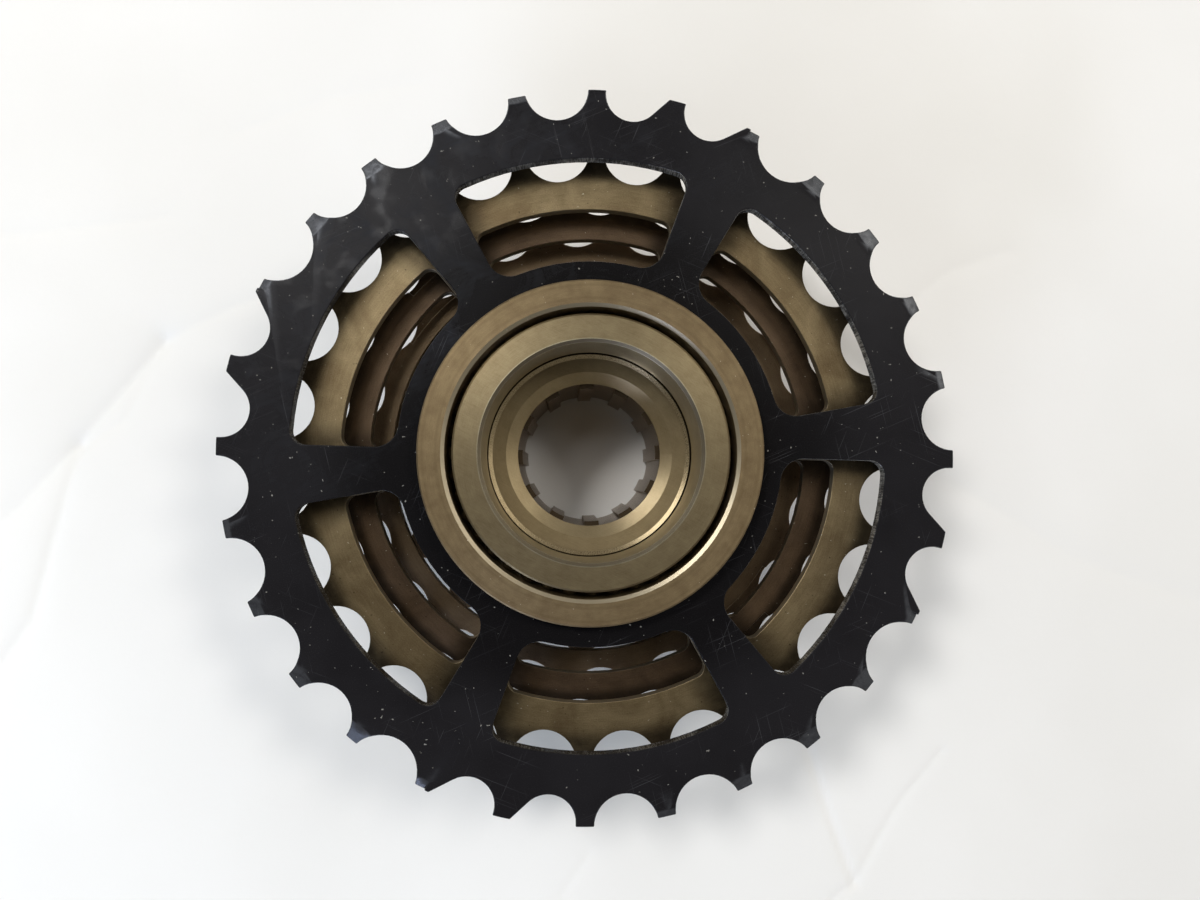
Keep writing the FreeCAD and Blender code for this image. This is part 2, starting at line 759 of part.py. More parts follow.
cog18 = new_body("sprocket_18t")
disc_blank(cog18, 18, "cog_thick")
plain_gaps(cog18, 18, 18.0)
at_level(cog18, 4, "cog_thick")


def screwed_cog(name, teeth, steps, phase, collar_out, collar_len):
    """A small sprocket that screws on the carrier's nose, with a collar on its inboard
    side that clamps what lies above it."""
    body = new_body(name)
    disc_blank(body, teeth, "cog_thick", slots=False)
    plain_gaps(body, teeth, phase)
    s = new_sketch(body, "collar", "XY_Plane", "cog_thick")
    ring(s, collar_out)
    ring(s, "nose_bore")
    body.Tip = padded(body, s, collar_len)
    at_level(body, steps, "cog_thick")
    return body


cog16 = screwed_cog("sprocket_16t", 16, 5, 11.25, 25.6, "cog_step - cog_thick")
cog14 = screwed_cog("sprocket_14t", 14, 6, 4.0, 23.4, "cog_step - cog_thick")


# ---------------------------------------------------------------- spacers
def make_spacer(name, low, high):
    body = new_body(name)
    s = new_sketch(body, name + "_ring", "XY_Plane", low)
    ring(s, "spacer_in")
    ring(s, "spacer_out")
    padded(body, s, "%s - %s" % (high, low.replace("+", "#").replace("-", "+").replace("#", "-")))
    return body


spacers = [
    make_spacer("spacer_28_24", "big_level - cog_step", "big_level - bigcog_thick"),
    make_spacer(
        "spacer_24_22",
        "big_level - cog_step - cog_step",
        "big_level - cog_step - cog_thick",
    ),
    make_spacer(
        "spacer_22_20",
        "big_level - cog_step - cog_step - cog_step",
        "big_level - cog_step - cog_step - cog_thick",
    ),
    make_spacer(
        "spacer_20_18",
        "big_level - cog_step - cog_step - cog_step - cog_step",
        "big_level - cog_step - cog_step - cog_step - cog_thick",
    ),
]

doc.recompute()

NODES = [
    inner_body,
    cone,
    shims,
    balls_in,
    balls_out,
    carrier,
    pawl_a,
    pawl_b,
    leaf_a,
    leaf_b,
    big,
    cog24,
    cog22,
    cog20,
    cog18,
    cog16,
    cog14,
] + spacers

# ---------------------------------------------------------------- checks and export
bad = []
for obj in doc.Objects:
    state = [str(x) for x in obj.State]
    if "Invalid" in state or "Error" in state:
        bad.append((obj.Name, state))
for obj in NODES:
    shape = obj.Shape
    if shape.isNull() or not shape.isValid() or not shape.Solids:
        bad.append((obj.Label, "shape"))
    else:
        box = shape.BoundBox
        print(
            "%-16s solids %2d volume %9.1f z %.2f to %.2f"
            % (obj.Label, len(shape.Solids), shape.Volume, box.ZMin, box.ZMax)
        )
if bad:
    raise SystemExit("failed objects: %s" % bad)
for obj in NODES:
    obj.Shape.exportStep(os.path.join("parts", obj.Label + ".step"))
print("wrote", len(NODES), "parts")
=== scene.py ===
import math

import bmesh
import bpy
import numpy as np
from mathutils import Matrix, Vector


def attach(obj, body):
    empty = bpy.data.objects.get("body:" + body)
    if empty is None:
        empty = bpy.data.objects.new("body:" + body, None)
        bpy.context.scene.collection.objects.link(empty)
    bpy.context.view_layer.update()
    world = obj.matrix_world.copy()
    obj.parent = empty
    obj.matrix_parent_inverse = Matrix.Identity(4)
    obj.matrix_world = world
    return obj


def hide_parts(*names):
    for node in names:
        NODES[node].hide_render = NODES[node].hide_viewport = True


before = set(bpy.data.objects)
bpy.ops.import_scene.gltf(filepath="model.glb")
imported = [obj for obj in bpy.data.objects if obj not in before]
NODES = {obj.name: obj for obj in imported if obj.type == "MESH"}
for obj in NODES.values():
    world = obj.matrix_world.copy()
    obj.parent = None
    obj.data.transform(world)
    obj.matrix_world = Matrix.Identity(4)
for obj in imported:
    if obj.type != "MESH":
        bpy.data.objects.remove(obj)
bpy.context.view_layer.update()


def srgb(r, g, b, a=1.0):
    """A colour given in 0-255 display values, as the linear values the shaders take."""
    out = []
    for v in (r, g, b):
        c = v / 255.0
        out.append(c / 12.92 if c <= 0.04045 else ((c + 0.055) / 1.055) ** 2.4)
    return (*out, a)


# ------------------------------------------------------------------ node helpers
class Mat:
    """A material under construction: a principled shader and short names for its nodes."""

    def __init__(self, name):
        self.m = bpy.data.materials.new(name)
        self.m.use_nodes = True
        self.t = self.m.node_tree
        self.t.nodes.clear()
        self.out = self.t.nodes.new("ShaderNodeOutputMaterial")
        self.bsdf = self.t.nodes.new("ShaderNodeBsdfPrincipled")
        self.t.links.new(self.bsdf.outputs[0], self.out.inputs[0])
        tc = self.t.nodes.new("ShaderNodeTexCoord")
        scale = self.t.nodes.new("ShaderNodeVectorMath")
        scale.operation = "SCALE"
        self.t.links.new(tc.outputs["Object"], scale.inputs[0])
        scale.inputs["Scale"].default_value = 1000.0
        self.p = scale.outputs[0]  # the place in millimetres
        sep = self.t.nodes.new("ShaderNodeSeparateXYZ")
        self.t.links.new(self.p, sep.inputs[0])
        self.x, self.y, self.z = sep.outputs

    def node(self, kind, **kw):
        n = self.t.nodes.new(kind)
        for k, v in kw.items():
            setattr(n, k, v)
        return n

    def put(self, sock, v):
        if isinstance(v, bpy.types.NodeSocket):
            self.t.links.new(v, sock)
        elif v is not None:
            sock.default_value = v

    def f(self, op, a, b=None, c=None, clamp=False):
        n = self.node("ShaderNodeMath", operation=op, use_clamp=clamp)
        self.put(n.inputs[0], a)
        if b is not None:
            self.put(n.inputs[1], b)
        if c is not None:
            self.put(n.inputs[2], c)
        return n.outputs[0]

    def vec(self, x, y, z):
        n = self.node("ShaderNodeCombineXYZ")
        for i, v in enumerate((x, y, z)):
            self.put(n.inputs[i], v)
        return n.outputs[0]

    def step(self, v, lo, hi, a=0.0, b=1.0):
        """Goes smoothly from a to b as v goes from lo to hi."""
        n = self.node("ShaderNodeMapRange", interpolation_type="SMOOTHSTEP")
        n.clamp = True
        self.put(n.inputs["Value"], v)
        n.inputs["From Min"].default_value = lo
        n.inputs["From Max"].default_value = hi
        n.inputs["To Min"].default_value = a
        n.inputs["To Max"].default_value = b
        return n.outputs[0]

    def band(self, v, lo, hi, soft):
        """1 between lo and hi, 0 outside, with soft sides."""
        return self.f(
            "MULTIPLY",
            self.step(v, lo - soft, lo + soft),
            self.step(v, hi - soft, hi + soft, 1.0, 0.0),
        )

    def noise(self, vec, scale, detail=3.0, rough=0.5, dist=0.0, kind="FBM"):
        n = self.node("ShaderNodeTexNoise", noise_dimensions="3D", noise_type=kind)
        self.put(n.inputs["Vector"], vec)
        n.inputs["Scale"].default_value = scale
        n.inputs["Detail"].default_value = detail
        n.inputs["Roughness"].default_value = rough
        n.inputs["Distortion"].default_value = dist
        return n.outputs[0]

    def stretched(self, turn, along, across, seed=0.0, scale=1.0, detail=2.0):
        """Noise drawn out along one direction of the XY plane: brush marks, scratches."""
        c, s = math.cos(math.radians(turn)), math.sin(math.radians(turn))
        u = self.f("ADD", self.f("MULTIPLY", self.x, c), self.f("MULTIPLY", self.y, s))
        v = self.f("SUBTRACT", self.f("MULTIPLY", self.y, c), self.f("MULTIPLY", self.x, s))
        w = self.vec(
            self.f("MULTIPLY", u, along),
            self.f("MULTIPLY", v, across),
            self.f("ADD", self.z, seed),
        )
        return self.noise(w, scale, detail)

    def polar(self):
        r2 = self.f("ADD", self.f("MULTIPLY", self.x, self.x), self.f("MULTIPLY", self.y, self.y))
        self.r = self.f("SQRT", self.f("MAXIMUM", r2, 1e-6))
        self.ca = self.f("DIVIDE", self.x, self.r)
        self.sa = self.f("DIVIDE", self.y, self.r)
        return self.r

    def turned(self, fine, along, seed=0.0, detail=3.0, axial=0.0):
        """Noise drawn out around the axis, as a lathe leaves it."""
        w = self.vec(
            self.f("ADD", self.f("MULTIPLY", self.r, fine), self.f("MULTIPLY", self.z, axial)),
            self.f("MULTIPLY", self.ca, along),
            self.f("ADD", self.f("MULTIPLY", self.sa, along), seed),
        )
        return self.noise(w, 1.0, detail)

    def towards(self, deg, power=1.0):
        """1 on the side of the axis at that angle, 0 on the other side."""
        c, s = math.cos(math.radians(deg)), math.sin(math.radians(deg))
        d = self.f("ADD", self.f("MULTIPLY", self.ca, c), self.f("MULTIPLY", self.sa, s))
        d = self.f("ADD", self.f("MULTIPLY", d, 0.5), 0.5)
        return self.f("POWER", d, power)

    def up(self):
        """How far a face points along the axis, from 0 for a wall to 1 for a flat face."""
        tc = self.node("ShaderNodeTexCoord")
        sep = self.node("ShaderNodeSeparateXYZ")
        self.t.links.new(tc.outputs["Normal"], sep.inputs[0])
        return self.f("ABSOLUTE", sep.outputs[2])

    def mix(self, fac, a, b, blend="MIX"):
        n = self.node("ShaderNodeMix", data_type="RGBA", blend_type=blend)
        self.put(n.inputs[0], fac)
        self.put(n.inputs[6], a)
        self.put(n.inputs[7], b)
        return n.outputs[2]

    def bump(self, height, strength, distance, normal=None):
        n = self.node("ShaderNodeBump")
        n.inputs["Strength"].default_value = strength
        n.inputs["Distance"].default_value = distance
        self.put(n.inputs["Height"], height)
        if normal is not None:
            self.put(n.inputs["Normal"], normal)
        return n.outputs[0]

    def around_axis(self):
        return self.node("ShaderNodeTangent", direction_type="RADIAL", axis="Z").outputs[0]

    def set(self, **kw):
        names = {
            "color": "Base Color",
            "metal": "Metallic",
            "rough": "Roughness",
            "ior": "IOR",
            "normal": "Normal",
            "spec": "Specular IOR Level",
            "aniso": "Anisotropic",
            "aniso_turn": "Anisotropic Rotation",
            "tangent": "Tangent",
            "coat": "Coat Weight",
            "coat_rough": "Coat Roughness",
        }
        for k, v in kw.items():
            self.put(self.bsdf.inputs[names[k]], v)
        return self.m


# ------------------------------------------------------------------ materials
def black_coat():
    """Black finish of the largest sprocket: satin, with handling smudges, fine scratches,
    and bare sheared steel on the window walls and along the edges. A painted sheen lies on the
    side towards 128 degrees, and the bare steel and tooth bevels carry painted highlights
    that are strongest towards 40 and 65 degrees."""
    k = Mat("black_coat_worn")
    k.polar()
    up = k.up()
    # coating
    cloud = k.noise(k.p, 0.16, 4.0, 0.6, 0.8)
    # handling film, drawn as a lighter painted sheen only on the side towards 128 degrees, where the light falls
    film_and_painted_sheen = k.f("MULTIPLY", k.step(cloud, 0.44, 0.7), k.towards(128.0, 6.0))
    streak = k.stretched(24.0, 0.05, 1.6, 3.0, 1.0, 4.0)
    film_and_painted_sheen = k.f("MULTIPLY", film_and_painted_sheen, k.step(streak, 0.35, 0.7, 0.35, 1.0))
    grain = k.noise(k.p, 6.0, 3.0, 0.65)
    base = k.mix(k.step(grain, 0.3, 0.75), srgb(12, 11, 12), srgb(18, 17, 18))
    # the rim is handled and dusty, the hub isn't
    dust = k.f("MULTIPLY", k.step(k.r, 33.0, 45.0), k.step(k.noise(k.p, 0.07, 3.0, 0.6), 0.25, 0.65, 0.55, 1.0))
    base = k.mix(k.f("MULTIPLY", dust, 0.8), base, srgb(29, 28, 30))
    base = k.mix(film_and_painted_sheen, base, srgb(31, 32, 36))
    smudge = k.step(k.noise(k.p, 0.26, 2.0, 0.5), 0.5, 0.72)
    smudge = k.f("MULTIPLY", k.f("MULTIPLY", smudge, k.towards(138.0, 9.0)), k.step(k.r, 36.0, 44.0))
    rough = k.f("ADD", k.f("MULTIPLY", grain, 0.12), 0.2)
    rough = k.f("ADD", rough, k.f("MULTIPLY", film_and_painted_sheen, 0.24))
    # fine scratches in several directions, in patches
    lines = None
    for turn, along, across, seed, lo in (
        (23.0, 0.06, 7.0, 11.0, 0.70),
        (104.0, 0.07, 8.0, 27.0, 0.71),
        (158.0, 0.05, 9.0, 41.0, 0.715),
        (67.0, 0.09, 6.0, 63.0, 0.72),
    ):
        n = k.step(k.stretched(turn, along, across, seed, 1.0, 1.0), lo, lo + 0.025)
        lines = n if lines is None else k.f("MAXIMUM", lines, n)
    patch = k.step(k.noise(k.p, 0.09, 2.0), 0.42, 0.62)
    lines = k.f("MULTIPLY", lines, patch)
    base = k.mix(k.f("MULTIPLY", lines, 0.35), base, srgb(84, 84, 87))
    # small nicks
    dots = k.noise(k.p, 1.9, 1.0)
    dots = k.step(dots, 0.775, 0.79)
    base = k.mix(k.f("MULTIPLY", dots, 0.6), base, srgb(150, 148, 142))
    # bare sheared steel where the face ends: the walls, and the rolled edge next to them
    bare = k.step(up, 0.3, 0.8, 1.0, 0.0)
    inside = k.step(k.r, 48.6, 49.6, 1.0, 0.0)
    bare = k.f("MULTIPLY", bare, k.f("ADD", k.f("MULTIPLY", inside, 0.85), 0.12))
    hatch = k.vec(
        k.f("MULTIPLY", k.ca, 260.0),
        k.f("MULTIPLY", k.sa, 260.0),
        k.f("MULTIPLY", k.z, 0.5),
    )
    hatch = k.noise(hatch, 1.0, 3.0)
    steel = k.mix(k.step(hatch, 0.35, 0.65), srgb(62, 60, 58), srgb(186, 184, 178))
    bare_wear_and_painted_glint = k.f("MULTIPLY", bare, k.step(k.noise(k.p, 0.22, 4.0, 0.65), 0.42, 0.6, 0.12, 1.0))
    # painted highlight: the bare steel is drawn strongest towards 40 degrees, where the light falls, and faint on
    # the far side
    bare_wear_and_painted_glint = k.f("MULTIPLY", bare_wear_and_painted_glint, k.f("ADD", k.f("MULTIPLY", k.towards(40.0, 2.0), 0.8), 0.2))
    color = k.mix(bare_wear_and_painted_glint, base, steel)
    rough = k.f("ADD", rough, k.f("MULTIPLY", bare_wear_and_painted_glint, 0.04))
    # the bevels on the teeth are rubbed by the chain; the rubbed colour is drawn stronger towards 65 degrees and
    # weaker on the far side, a painted highlight
    chain_rub_and_painted_glint = k.f("MULTIPLY", k.band(up, 0.8, 0.985, 0.008), k.step(k.r, 53.0, 54.0))
    chain_rub_and_painted_glint = k.f("MULTIPLY", chain_rub_and_painted_glint, k.step(k.noise(k.p, 0.8, 3.0, 0.6), 0.3, 0.6, 0.35, 0.8))
    chain_rub_and_painted_glint = k.f("MULTIPLY", chain_rub_and_painted_glint, k.f("ADD", k.f("MULTIPLY", k.towards(65.0, 1.5), 0.8), 0.2))
    color = k.mix(chain_rub_and_painted_glint, color, srgb(104, 106, 110))
    bare_wear_and_painted_glint = k.f("MAXIMUM", bare_wear_and_painted_glint, chain_rub_and_painted_glint)
    h = k.f("ADD", k.f("MULTIPLY", grain, 0.5), k.f("MULTIPLY", hatch, k.f("MULTIPLY", bare_wear_and_painted_glint, 2.5)))
    h = k.f("SUBTRACT", h, k.f("MULTIPLY", lines, 0.35))
    h = k.f("ADD", h, k.f("MULTIPLY", k.noise(k.p, 0.3, 1.0), 1.1))
    h = k.f("ADD", h, k.f("MULTIPLY", k.f("MULTIPLY", k.noise(k.p, 0.16, 1.0, 0.5), smudge), 3.5))
    nor = k.bump(h, 0.35, 0.00004)
    spec = k.f("ADD", k.f("MULTIPLY", smudge, 0.12), 0.085)
    return k.set(color=color, metal=k.f("MULTIPLY", bare_wear_and_painted_glint, 0.85), rough=rough, spec=spec, normal=nor)


def plate(name, light, dark, shade_radii=None):
    """Bronze-tinted finish of the stamped sprockets: matt satin with faint turning marks,
    cloudy colour and small pale specks."""
    k = Mat(name)
    k.polar()
    up = k.up()
    cloud = k.noise(k.p, 0.11, 4.0, 0.6, 0.6)
    fine = k.noise(k.p, 5.0, 4.0, 0.7)
    rings = k.turned(7.0, 14.0, 5.0, 2.0)
    v = k.f("ADD", k.f("MULTIPLY", cloud, 0.55), k.f("MULTIPLY", rings, 0.15))
    v = k.f("ADD", v, k.f("MULTIPLY", fine, 0.35))
    color = k.mix(k.step(v, 0.32, 0.76), dark, light)
    specks = k.step(k.noise(k.p, 2.3, 1.0), 0.77, 0.79)
    color = k.mix(k.f("MULTIPLY", specks, 0.7), color, srgb(214, 206, 184))
    pits = k.step(k.noise(k.vec(k.x, k.y, k.f("ADD", k.z, 40.0)), 1.7, 1.0), 0.75, 0.78)
    color = k.mix(k.f("MULTIPLY", pits, 0.6), color, srgb(52, 43, 32))
    # painted shade: darker beside the arms of the sprocket above and out towards the teeth, where the sprocket above
    # shades this face
    if shade_radii is not None:
        turn = k.f("ARCTAN2", k.sa, k.ca)
        turn = k.f("COSINE", k.f("MULTIPLY", k.f("SUBTRACT", turn, math.radians(34.2)), 6.0))
        painted_shade = k.f("MAXIMUM", k.step(turn, -0.92, -0.2, 1.0, 0.0), k.step(k.r, shade_radii[0], shade_radii[1]))
        painted_shade = k.f("MULTIPLY", painted_shade, k.step(k.noise(k.p, 0.35, 3.0, 0.6), 0.2, 0.6, 0.7, 1.0))
        color = k.mix(k.f("MULTIPLY", painted_shade, 0.82), color, srgb(34, 28, 21))
    # lighter metal along the edges
    wall = k.step(up, 0.35, 0.96, 1.0, 0.0)
    color = k.mix(k.f("MULTIPLY", wall, 0.45), color, srgb(178, 170, 150))
    rough = k.f("ADD", k.f("MULTIPLY", fine, 0.2), 0.33)
    h = k.f("ADD", k.f("MULTIPLY", rings, 1.2), fine)
    nor = k.bump(h, 0.35, 0.00004)
    return k.set(
        color=color,
        metal=0.9,
        rough=rough,
        normal=nor,
        aniso=0.3,
        aniso_turn=0.25,
        tangent=k.around_axis(),
    )


def flange_metal():
    """The carrier: its flange face is turned in two passes, with darker bands between."""
    k = Mat("bronze_turned_carrier")
    k.polar()
    up = k.up()
    rings = k.turned(24.0, 16.0, 2.0, 3.0, 20.0)
    cloud = k.noise(k.p, 0.45, 3.0, 0.6)
    fine = k.noise(k.p, 7.0, 4.0, 0.75)
    v = k.f("ADD", k.f("MULTIPLY", rings, 0.3), k.f("MULTIPLY", cloud, 0.35))
    v = k.f("ADD", v, k.f("MULTIPLY", fine, 0.4))
    color = k.mix(k.step(v, 0.34, 0.72), srgb(117, 99, 73), srgb(149, 131, 99))
    dark = k.f("MAXIMUM", k.band(k.r, 23.45, 23.85, 0.14), k.band(k.r, 25.5, 25.85, 0.16))
    dark = k.f("MULTIPLY", dark, k.step(rings, 0.2, 0.6, 0.5, 1.0))
    color = k.mix(k.f("MULTIPLY", dark, 0.2), color, srgb(92, 76, 52))
    # the turned bevel at the mouth is bright, the outer edge is darker
    mouth = k.f("MULTIPLY", k.band(up, 0.5, 0.96, 0.03), k.step(k.r, 23.2, 23.4, 1.0, 0.0))
    color = k.mix(k.f("MULTIPLY", mouth, 0.8), color, srgb(172, 162, 140))
    rim = k.f("MULTIPLY", k.step(up, 0.3, 0.97, 1.0, 0.0), k.step(k.r, 26.0, 26.2))
    color = k.mix(k.f("MULTIPLY", rim, 0.3), color, srgb(96, 84, 66))
    specks = k.step(k.noise(k.p, 2.6, 1.0), 0.775, 0.79)
    color = k.mix(k.f("MULTIPLY", specks, 0.6), color, srgb(230, 222, 204))
    rough = k.f("ADD", k.f("MULTIPLY", fine, 0.14), 0.44)
    rough = k.f("SUBTRACT", rough, k.f("MULTIPLY", mouth, 0.18))
    nor = k.bump(k.f("ADD", rings, k.f("MULTIPLY", fine, 0.4)), 0.3, 0.00004)
    return k.set(
        color=color,
        metal=0.95,
        rough=rough,
        normal=nor,
        aniso=0.4,
        aniso_turn=0.25,
        tangent=k.around_axis(),
    )


def core_metal():
    """The inner body: turned face, smoother and paler bore, darker run-out groove."""
    k = Mat("bronze_turned_core")
    k.polar()
    up = k.up()
    rings = k.turned(22.0, 12.0, 9.0, 3.0, 20.0)
    brush = k.stretched(152.0, 0.5, 12.0, 5.0, 1.0, 3.0)
    cloud = k.noise(k.p, 0.4, 3.0, 0.6)
    fine = k.noise(k.p, 7.0, 4.0, 0.75)
    v = k.f("ADD", k.f("MULTIPLY", rings, 0.3), k.f("MULTIPLY", cloud, 0.3))
    v = k.f("ADD", v, k.f("ADD", k.f("MULTIPLY", fine, 0.25), k.f("MULTIPLY", brush, 0.2)))
    face = k.mix(k.step(v, 0.34, 0.72), srgb(141, 124, 94), srgb(175, 159, 124))
    bore = k.mix(k.step(v, 0.3, 0.76), srgb(176, 164, 136), srgb(212, 202, 176))
    inside = k.step(k.r, 17.35, 17.5, 1.0, 0.0)
    color = k.mix(inside, face, bore)
    sink = k.f("MULTIPLY", k.step(k.r, 16.9, 17.1, 1.0, 0.0), k.band(k.z, 22.95, 24.9, 0.04))
    color = k.mix(sink, color, k.mix(k.step(v, 0.3, 0.76), srgb(132, 117, 89), srgb(158, 143, 113)))
    tube = k.f("MULTIPLY", k.step(k.r, 12.0, 12.2, 1.0, 0.0), k.step(k.z, 22.9, 23.4, 1.0, 0.0))
    color = k.mix(tube, color, k.mix(k.step(v, 0.3, 0.76), srgb(150, 124, 94), srgb(186, 160, 126)))
    # darker in the run-out groove and down the spline hole; the end faces of the spline lands are darkened as
    # painted shade
    groove = k.f("MULTIPLY", k.band(k.z, 24.2, 26.35, 0.06), k.step(k.r, 16.76, 16.86))
    land_ends_painted_shade = k.f("MULTIPLY", k.band(k.z, 22.8, 23.0, 0.04), k.step(k.r, 11.9, 12.05, 1.0, 0.0))
    spline = k.f("MULTIPLY", k.step(k.r, 12.1, 12.5, 1.0, 0.0), k.step(k.z, 22.2, 22.8, 1.0, 0.0))
    darker_groove_and_spline = k.f("MAXIMUM", k.f("MULTIPLY", groove, 0.95), k.f("MULTIPLY", spline, 0.45))
    color = k.mix(darker_groove_and_spline, color, srgb(58, 48, 36))
    color = k.mix(k.f("MULTIPLY", land_ends_painted_shade, 0.9), color, srgb(44, 38, 31))
    # the broken edges of the face: darker outside, dark at the thread's mouth
    mouth = k.f("MULTIPLY", k.band(k.r, 16.84, 17.29, 0.03), k.step(k.z, 36.9, 36.95))
    color = k.mix(k.f("MULTIPLY", mouth, 0.8), color, srgb(74, 64, 50))
    rim = k.f("MULTIPLY", k.band(up, 0.25, 0.95, 0.03), k.step(k.r, 20.8, 20.95))
    color = k.mix(k.f("MULTIPLY", rim, 0.5), color, srgb(104, 90, 68))
    # the floor and the countersink were cut rougher than the bore wall
    floor = k.f("MULTIPLY", k.step(k.r, 16.0, 16.15, 1.0, 0.0), k.step(k.z, 22.95, 23.1))
    flat = k.f("MULTIPLY", floor, k.step(k.r, 13.8, 13.95))
    rough = k.f("ADD", k.f("MULTIPLY", fine, 0.12), k.f("ADD", 0.22, k.f("MULTIPLY", k.step(k.r, 17.3, 17.5), 0.07)))
    thread = k.f("MULTIPLY", k.band(k.r, 16.8, 17.45, 0.02), k.band(k.z, 26.4, 36.9, 0.05))
    rough = k.f("ADD", rough, k.f("MULTIPLY", thread, 0.03))
    rough = k.f("ADD", rough, k.f("MULTIPLY", floor, 0.1))
    rough = k.f("ADD", rough, k.f("MULTIPLY", flat, 0.16))
    rough = k.f("ADD", rough, k.f("MULTIPLY", k.f("MAXIMUM", land_ends_painted_shade, mouth), 0.3))
    nor = k.bump(k.f("ADD", rings, k.f("MULTIPLY", fine, 0.5)), 0.3, 0.00003)
    return k.set(
        color=color,
        metal=0.96,
        rough=rough,
        normal=nor,
        aniso=0.35,
        aniso_turn=0.25,
        tangent=k.around_axis(),
    )


def plain_steel(name, light, dark, rough0, scale=5.0):
    """Bright or dull steel of the small inner pieces."""
    k = Mat(name)
    k.polar()
    n = k.noise(k.p, scale, 4.0, 0.65)
    lines = k.stretched(35.0, 0.4, 9.0, 7.0, 1.0, 2.0)
    v = k.f("ADD", k.f("MULTIPLY", n, 0.6), k.f("MULTIPLY", lines, 0.4))
    color = k.mix(k.step(v, 0.35, 0.7), dark, light)
    rough = k.f("ADD", k.f("MULTIPLY", n, 0.15), rough0)
    nor = k.bump(v, 0.25, 0.00002)
    return k.set(color=color, metal=1.0, rough=rough, normal=nor)


def paper():
    """White paper with faint fibre and slight tone drift."""
    k = Mat("white_paper")
    fibre = k.noise(k.p, 3.0, 5.0, 0.7)
    drift = k.noise(k.p, 0.012, 3.0, 0.5)
    color = k.mix(k.step(drift, 0.35, 0.7), (0.735, 0.728, 0.714, 1), (0.695, 0.686, 0.667, 1))
    color = k.mix(k.f("MULTIPLY", k.step(fibre, 0.35, 0.8), 0.05), color, (0.6, 0.6, 0.58, 1))
    nor = k.bump(k.f("ADD", fibre, k.f("MULTIPLY", k.noise(k.p, 0.6, 3.0), 2.0)), 0.12, 0.00008)
    return k.set(color=color, metal=0.0, rough=0.62, spec=0.25, normal=nor)


M_BLACK = black_coat()
M_COG = plate("bronze_plate", srgb(160, 143, 109), srgb(104, 87, 62), (43.6, 46.6))
# painted shade: the 20T and smaller sprockets, and the 22T still more, use darker copies of the sprocket plate for
# the shade they sit in below the larger sprockets
M_COG_PAINTED_SHADE = plate("bronze_plate_painted_shade", srgb(134, 115, 90), srgb(92, 76, 58))
M_COG_22_PAINTED_SHADE = plate("bronze_plate_22_painted_shade", srgb(116, 97, 77), srgb(76, 61, 47), (38.6, 40.4))
M_FLANGE = flange_metal()
M_CORE = core_metal()
M_RING = plate("spacer_steel", srgb(126, 108, 80), srgb(84, 70, 50))
M_BALL = plain_steel("polished_ball", srgb(214, 214, 212), srgb(176, 176, 174), 0.08, 2.0)
M_STEEL = plain_steel("hardened_steel", srgb(168, 162, 150), srgb(112, 106, 96), 0.28)
M_LEAF = plain_steel("spring_steel", srgb(150, 156, 164), srgb(96, 102, 112), 0.2)


# ------------------------------------------------------------------ geometry
def weld(node):
    """The vertices and faces of a CAD node, with its doubled vertices joined."""
    me = NODES[node].data
    co = np.zeros(len(me.vertices) * 3)
    me.vertices.foreach_get("co", co)
    co = co.reshape(-1, 3)
    faces = [tuple(p.vertices) for p in me.polygons]
    bm = bmesh.new()
    verts = [bm.verts.new(c) for c in co]
    for f in faces:
        if len(set(f)) == len(f):
            try:
                bm.faces.new([verts[i] for i in f])
            except ValueError:
                pass
    bmesh.ops.remove_doubles(bm, verts=bm.verts, dist=2e-6)
    return bm


def softened(node, name, body, mat, width, keep=None, segments=2, angle=30.0):
    """A visible stand-in for a CAD node, the same shape with its sharp edges broken."""
    bm = weld(node)
    bmesh.ops.dissolve_limit(
        bm, angle_limit=math.radians(0.3), use_dissolve_boundaries=False, verts=bm.verts, edges=bm.edges
    )
    weight = bm.edges.layers.float.new("bevel_weight_edge")
    for f in bm.faces:
        f.smooth = True
    limit = math.radians(angle)
    for e in bm.edges:
        if len(e.link_faces) != 2 or e.calc_face_angle(0.0) > limit:
            mid = (e.verts[0].co + e.verts[1].co) * 500.0
            if len(e.link_faces) == 2 and (keep is None or keep(mid.x, mid.y, mid.z)):
                e[weight] = 1.0
            else:
                e.smooth = False
    me = bpy.data.meshes.new(name)
    bm.to_mesh(me)
    bm.free()
    ob = bpy.data.objects.new(name, me)
    bpy.context.scene.collection.objects.link(ob)
    mod = ob.modifiers.new("soft_edges", "BEVEL")
    mod.limit_method = "WEIGHT"
    mod.width = width / 1000.0
    mod.segments = segments
    mod.profile = 0.5
    mod.harden_normals = True
    mod.use_clamp_overlap = False
    mod.loop_slide = False
    dg = bpy.context.evaluated_depsgraph_get()
    done = bpy.data.meshes.new_from_object(
        ob.evaluated_get(dg), preserve_all_data_layers=True, depsgraph=dg
    )
    ob.modifiers.clear()
    ob.data = done
    done.name = name
    done.materials.clear()
    done.materials.append(mat)
    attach(ob, body)
    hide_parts(node)
    return ob


def paint(node, mat):
    me = NODES[node].data
    me.materials.clear()
    me.materials.append(mat)


